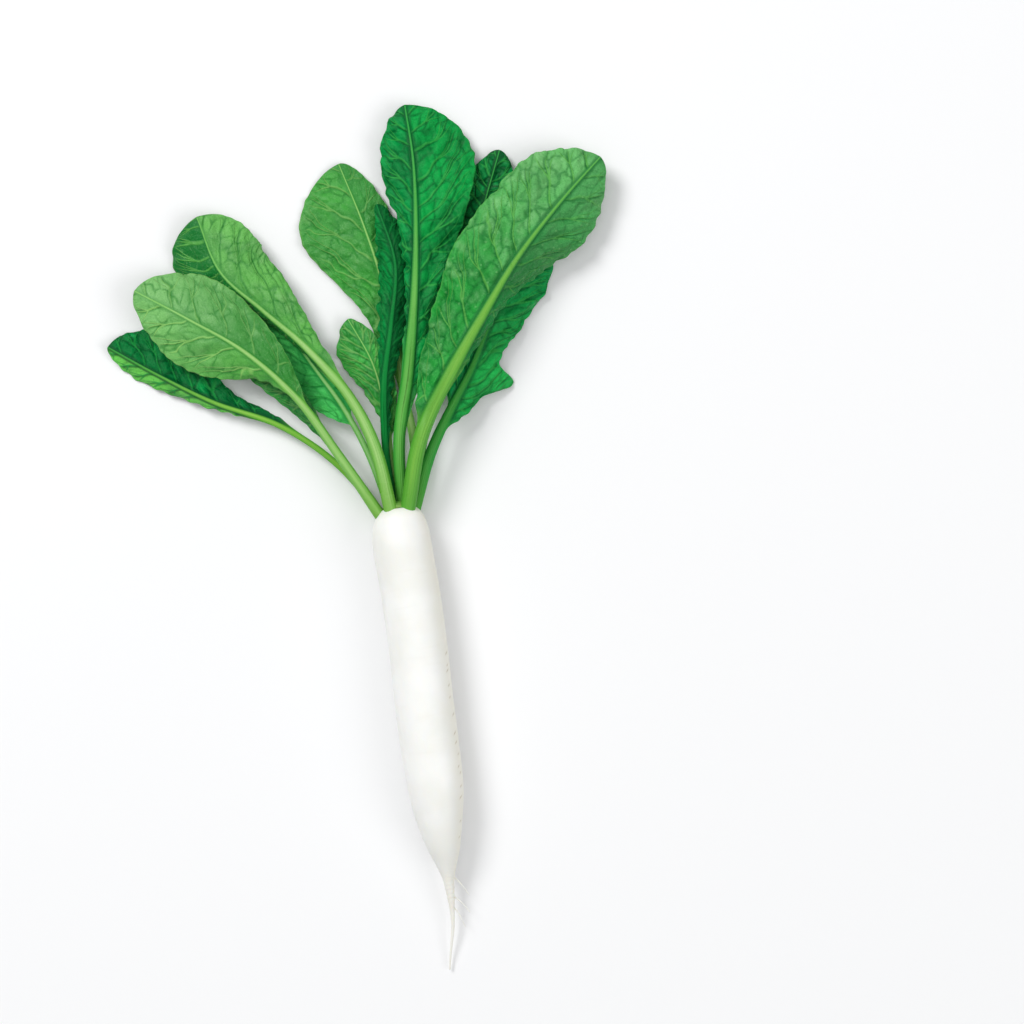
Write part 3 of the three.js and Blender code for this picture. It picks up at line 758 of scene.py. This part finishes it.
# One leaf, in millimetres and degrees. spine: points of its course from the crown to the tip. rib: half the
# stalk's thickness along it. roll: turn about the course. left and right: the half's widths, its fold
# angles and its curl. wave: height, number and start of the margin's waves. veins: spacing and lean of the
# side veins, left and right. relief: height of pillows, ridges, puckers and crinkle. calm: share of the
# relief, left and right. cells: size of the net. lobe: middle, size, reach before and after. grid: steps
# along, and across each half.
LEAVES = {
    # The left front leaf, the lightest and nearest
    "leaf_front": {
        "spine": ((-14.3, -5, 24), (-39.7, 45.4, 31.5), (-64, 90.2, 36.5),
                  (-97.4, 129.5, 38), (-136.5, 159.7, 33), (-175.5, 187.5, 22)),
        "rib": (4.5, 3.9, 3.5, 3.3, 2.9, 2.4, 2, 1.6, 1.3, 1, 0.7),
        "roll": (0, 0, 0, -4, -6, -6),
        "left": ((0, 0, 0, 0, 2.5, 9, 26, 35, 34, 29, 24), (-30, -40, -45, -35, -20, -14, -14), -14),
        "right": ((0, 0, 0, 0, 6, 17, 26, 34, 37, 36, 33), (10, 10, 6, 4, 2, 0, 0), -22),
        "wave": (1.6, 4, 0.1), "veins": ((23, 1.1), (23, 0.75)),
        "relief": (0.25, 1, 0.8, 0.6), "grid": (300, 52),
        "looks": LIGHT_LEAF,
    },
    # A leaf under it, of which only the left edge shows
    "leaf_under": {
        "spine": ((-13.5, -5, 16.8), (-38.5, 45, 21.5), (-62, 89, 24), (-88, 121, 23.5), (-112, 148, 20)),
        "rib": (2, 2, 1.9, 1.8, 1.7, 1.5, 1.3, 1.1, 0.9, 0.8, 0.6),
        "left": ((0, 0, 0, 4, 8, 11.5, 14, 15, 15, 13, 10), (-6, -8, -10, -10, -8), -12),
        "right": ((0, 0, 0, 0, 3, 5, 7, 9, 10, 10, 8), (-6, -6, -8, -8, -8), -12),
        "wave": (0.8, 4, 0.3), "veins": ((14, 1.4), (14, 1)),
        "relief": (0.4, 0.5, 0.5, 0.5), "grid": (200, 30),
        "looks": {
            **LIGHT_LEAF, "left": (44, 146, 56), "right": (44, 146, 56), "deep": (14, 92, 42),
            "show": (0.25, 0.25), "tip": (0.1, 0.1), "bloom": (0.3, 0.3),
        },
    },
    # The leaf behind the front one, its left half folded down along the midrib
    "leaf_second": {
        "spine": ((-5.9, -5, 29.5), (-12.1, 48.5, 32), (-27.6, 90.7, 31), (-53.6, 128.9, 28),
                  (-82, 160.5, 24.5), (-110, 193.5, 23), (-122.5, 237, 16.5)),
        "rib": (5.2, 4.9, 4.6, 4, 3.3, 2.7, 2.2, 1.8, 1.4, 1, 0.7),
        "roll": (0, 0, 0, 0, 0, 4, 0),
        "left": ((0, 0, 0, 3, 6, 9, 11, 14, 31, 41, 44), (-40, -50, -60, -64, -66, -58, -24, -14), -16),
        "right": ((0, 0, 0, 3, 6.5, 12, 22, 31, 36, 41, 47), (10, 10, 8, 4, 0, 0), -24),
        "wave": (1.4, 4, 0.6), "veins": ((8.5, 0.3), (30, 1.9)),
        "relief": (0.25, 0.9, 0.8, 0.6), "grid": (310, 52),
        "looks": {
            # The folded-down left half is painted dark green as shade
            **LIGHT_LEAF, "left": (0, 116, 46), "right": (98, 180, 78), "deep": (30, 118, 44),
            "vein": (104, 184, 82), "show": (0.6, 0.2), "tip": (0, 0.2), "bloom": (0, 0.95),
        },
    },
    # A thin-stalked leaf between and below those two
    "leaf_third": {
        "spine": ((-6.8, -5, 17.8), (-17.8, 42.5, 19), (-32.4, 80.7, 16.5),
                  (-50.6, 114.2, 13), (-70.1, 150.1, 10.5), (-90.1, 184.5, 8.5)),
        "rib": (3, 2.5, 2.3, 2.2, 2, 1.8, 1.6, 1.4, 1.1, 0.9, 0.6),
        "left": ((0, 0, 0, 0, 14, 22, 26, 27, 26, 22, 18), (-6, -6, -8, -10, -10), -16),
        "right": ((0, 0, 0, 0, 6, 11, 14, 16, 16, 14, 12), (-6, -6, -8, -10, -10), -20),
        "wave": (1.8, 4, 0.3), "veins": ((15, 1), (15, 0.8)),
        "relief": (0.4, 0.6, 0.7, 0.8), "grid": (240, 40),
        "looks": {
            # Both halves are painted lighter than their own green, to make up for the shade they lie in
            **DARK_LEAF, "left": (84, 210, 102), "right": (78, 202, 96), "deep": (20, 122, 54),
            "rib": (152, 204, 130), "rib_side": (98, 178, 74),
        },
    },
    # The lowest leaf on the left, folded along its midrib
    "leaf_far_left": {
        "spine": ((-12.3, -5, 11.6), (-44.5, 41, 11.6), (-82.8, 74.2, 12), (-128.2, 97.3, 14),
                  (-168.2, 124, 12.5), (-202.9, 149.6, 7)),
        "rib": (3, 2.6, 2.4, 2.3, 2.1, 1.9, 1.7, 1.4, 1.1, 0.9, 0.6),
        "left": ((0, 0, 0, 2.5, 3, 4, 7, 11, 14, 15, 14), (-30, -40, -45, -48, -44, -34), -6),
        "right": ((0, 0, 0, 2.5, 5, 9, 16, 22, 28, 33, 32), (-4, -8, -12, -14, -14, -8), -14),
        "wave": (1.4, 5, 0), "veins": ((14, 1.2), (16, 0.9)),
        "relief": (1, 1, 2, 0.6), "grid": (280, 44),
        "calm": (0.12, 1), "cells": 13,
        "looks": {
            # The left half is painted lighter to make up for the shade it lies in; the right half is painted
            # dark as the shaded inner face of the fold
            **DARK_LEAF, "left": (122, 222, 92), "right": (0, 106, 52), "pale": (24, 194, 94),
            "vein": (34, 150, 66), "rib": (140, 196, 80), "rib_side": (94, 174, 54), "foot": (126, 190, 64),
            "bloom": (0.1, 1), "quilted": 0.6,
        },
    },
    # A small crinkled leaf in the middle
    "leaf_small": {
        "spine": ((1.2, -5, 9), (-2, 30.2, 10), (-0.9, 58.4, 12), (-2.1, 86.5, 13), (-7.1, 114.4, 12.5),
                  (-20.2, 146.5, 9)),
        "rib": (2.6, 2.4, 2.2, 2, 1.8, 1.6, 1.4, 1.2, 1, 0.8, 0.6),
        "left": ((0, 0, 0, 0, 2, 7, 12, 17, 22, 25, 21), (-14, -14, -16, -18, -16), -8),
        "right": ((0, 0, 0, 0, 4, 9, 11, 12, 11, 12, 10), (12, 12, 12, 12, 8), -12),
        "wave": (1.8, 5, 0.2), "veins": ((10, 1.3), (10, 1.3)),
        "relief": (0.7, 1.3, 1, 1), "grid": (200, 36),
        "looks": {
            **LIGHT_LEAF, "left": (56, 178, 66), "right": (64, 182, 70), "deep": (18, 116, 44),
            "show": (0.4, 0.4), "tip": (0.1, 0.1), "bloom": (0.3, 0.3),
        },
    },
    # A tall light leaf behind the dark ones
    "leaf_tall": {
        "spine": ((6.6, -5, 6), (16.5, 41.7, 6.6), (14.3, 84.4, 6.6), (12.7, 126.6, 7),
                  (9.3, 169, 8), (0.5, 216, 7.4), (-12, 264, 4.4)),
        "rib": (3.1, 3.4, 3.4, 3.2, 3, 2.6, 2.2, 1.8, 1.4, 1, 0.7),
        "left": ((0, 0, 0, 3.5, 6, 12, 20, 33, 46, 52, 48), (0, 0, 0, 2, 2, 0), -14),
        "right": ((0, 0, 0, 3.5, 4.5, 8, 18, 23, 23, 22, 20), (-4, -4, -4, -6, -6, -4), -10),
        "wave": (1, 4, 0.5), "veins": ((24, 1), (24, 1)),
        "relief": (0.45, 1, 1, 0.6), "grid": (300, 58),
        "looks": {
            **LIGHT_LEAF, "left": (60, 160, 58), "right": (44, 144, 52), "deep": (34, 124, 44),
            "show": (0.4, 0.3), "tip": (0.1, 0.1), "bloom": (0.6, 0.3),
        },
    },
    # A narrow dark leaf beside the upright one
    "leaf_narrow": {
        "spine": ((-4.3, -5, 11.5), (-4.5, 48.3, 19.5), (0.8, 93.7, 22.5), (11.9, 137.6, 22),
                  (20.9, 182.6, 19), (12.7, 229.1, 13)),
        "rib": (3, 2.9, 2.7, 2.4, 2.2, 1.9, 1.7, 1.4, 1.1, 0.9, 0.6),
        "left": ((0, 0, 0, 2.7, 4, 8, 12, 15, 16, 13, 8), (-20, -24, -30, -34, -30, -20), -12),
        "right": ((0, 0, 4, 6, 8, 10, 13, 17, 19, 17, 14), (-16, -24, -30, -34, -30, -20), -10),
        "wave": (1, 6, 0.2), "veins": ((12, 1.6), (12, 1.6)),
        "relief": (0.45, 0.8, 0.7, 1.2), "grid": (260, 32),
        "looks": {
            **DARK_LEAF, "left": (0, 146, 68), "right": (0, 108, 50), "vein": (24, 130, 60),
            "rib": (16, 136, 60), "rib_side": (8, 116, 52), "foot": (40, 140, 58), "gloss": 0.1,
        },
    },
    # The tall dark leaf with the straight midrib
    "leaf_upright": {
        "spine": ((1.5, -5, 18.7), (6.8, 51.3, 25.5), (20.6, 100.9, 29.5), (31.6, 151.7, 30),
                  (39.7, 202.8, 28), (44.5, 254.4, 23), (43.7, 300, 15)),
        "rib": (4.2, 4.4, 4.5, 4.2, 3.7, 3.1, 2.6, 2.1, 1.6, 1.2, 0.8),
        "left": ((0, 0, 5.5, 6.5, 7.5, 9, 12, 18, 26, 28, 24), (-40, -50, -56, -52, -36, -20, -14), -8),
        "right": ((0, 0, 6.5, 9.5, 13, 16, 25, 36, 46, 48, 44), (-14, -14, -12, -8, -4, -4, -6), -14),
        "wave": (1.8, 5, 0.4), "veins": ((15, 1), (17, 0.9)),
        "relief": (0.8, 1.5, 1.4, 1), "grid": (345, 60),
        "cells": 12,
        "looks": {
            **DARK_LEAF, "left": (0, 154, 74), "right": (6, 164, 72), "rib": (112, 186, 86),
            "rib_side": (58, 156, 56),
        },
    },
    # The broad leaf that leans right, in front, with small raised beads that carry painted glints
    "leaf_broad": {
        "spine": ((5.3, -5, 28.5), (22.2, 47.7, 36.5), (49.4, 91.8, 41), (80.1, 133.1, 42),
                  (112.4, 173.4, 39), (149.1, 210.2, 32), (184, 241, 22)),
        "rib": (5.7, 5.8, 5.6, 5, 4.3, 3.6, 2.9, 2.3, 1.8, 1.3, 0.8),
        "left": ((0, 0, 8, 20, 29, 38, 45, 46, 45, 45, 36), (2, 2, 2, 0, -2, -4), -20),
        "right": ((0, 0, 0, 6.5, 10, 14, 20, 30, 36, 32, 26), (-30, -40, -50, -56, -40, -16, -8), -16),
        "wave": (2, 4, 0.2), "veins": ((21, 0.9), (21, 1)),
        "relief": (1.2, 1.4, 2.1, 0.9), "grid": (360, 60),
        "calm": (1, 0.5), "cells": 15,
        "looks": {
            **DARK_LEAF, "left": (44, 162, 64), "right": (0, 136, 58), "deep": (8, 104, 44),
            "pale": (134, 206, 128), "vein": (96, 178, 80), "rib": (120, 182, 70), "rib_side": (84, 164, 54),
            "show": (0.75, 0.4), "tip": (0.6, 0.35), "bloom": (1, 0.2), "beads": 0.5, "gloss": 0.2,
        },
    },
    # The leaf under it on the right, with a pointed lobe
    "leaf_right": {
        "spine": ((10.5, -5, 19.7), (27, 34.5, 22.5), (46.5, 66.5, 22), (67.5, 97, 20),
                  (86.1, 129.6, 18), (109.7, 161.7, 16), (135.5, 190.8, 11)),
        "rib": (4.1, 4.3, 4.1, 3.7, 3.1, 2.7, 2.3, 1.8, 1.4, 1, 0.7),
        "left": ((0, 0, 0, 0, 9, 14, 18, 20, 20, 19, 16), (0, 0, 0, -4, -6, -6), -10),
        "right": ((0, 0, 0, 7, 16, 16, 20, 25, 27, 28, 22), (-10, -16, -20, -20, -18, -14), -16),
        "lobe": (0.5185, 21, 0.06, 0.02),
        "wave": (1.4, 4, 0.7), "veins": ((14, 1), (14, 1.2)),
        "relief": (0.6, 1, 1.2, 0.8), "grid": (290, 48),
        "looks": {
            **DARK_LEAF, "left": (0, 168, 84), "right": (40, 196, 88), "pale": (0, 148, 74),
            "rib": (84, 172, 74), "rib_side": (46, 152, 58), "tip": (0.9, 1.0), "bloom": (0.2, 0.2),
        },
    },
    # A dark leaf at the back, between those two
    "leaf_back": {
        "spine": ((8.4, -5, 12.3), (24.9, 48.1, 13.5), (43.6, 97.1, 11), (62.1, 145.3, 9),
                  (82.1, 193.4, 9.5), (110, 258, 8)),
        "rib": (3, 2.8, 2.6, 2.4, 2.2, 2, 1.7, 1.4, 1.1, 0.9, 0.7),
        "left": ((0, 0, 0, 0, 8, 15, 20, 24, 26, 25, 20), (-4, -4, -6, -8, -6), -10),
        "right": ((0, 0, 0, 0, 6, 12, 18, 23, 28, 30, 24), (-6, -6, -8, -10, -8), -10),
        "wave": (1.8, 6, 0.5), "veins": ((12, 0.9), (12, 0.9)),
        "relief": (1.1, 1.3, 1.4, 1.3), "grid": (320, 44),
        "looks": {
            **DARK_LEAF, "left": (2, 166, 80), "right": (6, 170, 82), "bloom": (0.8, 0.8), "net": 0.9,
            "quilted": 0.85,
        },
    },
}
for index, (name, leaf) in enumerate(LEAVES.items()):
    piece = leaf_skin(f"{name}_blade", leaf, 10 * index + 1)
    piece.data.materials.append(leaf_paint(f"{name}_paint", leaf, index))
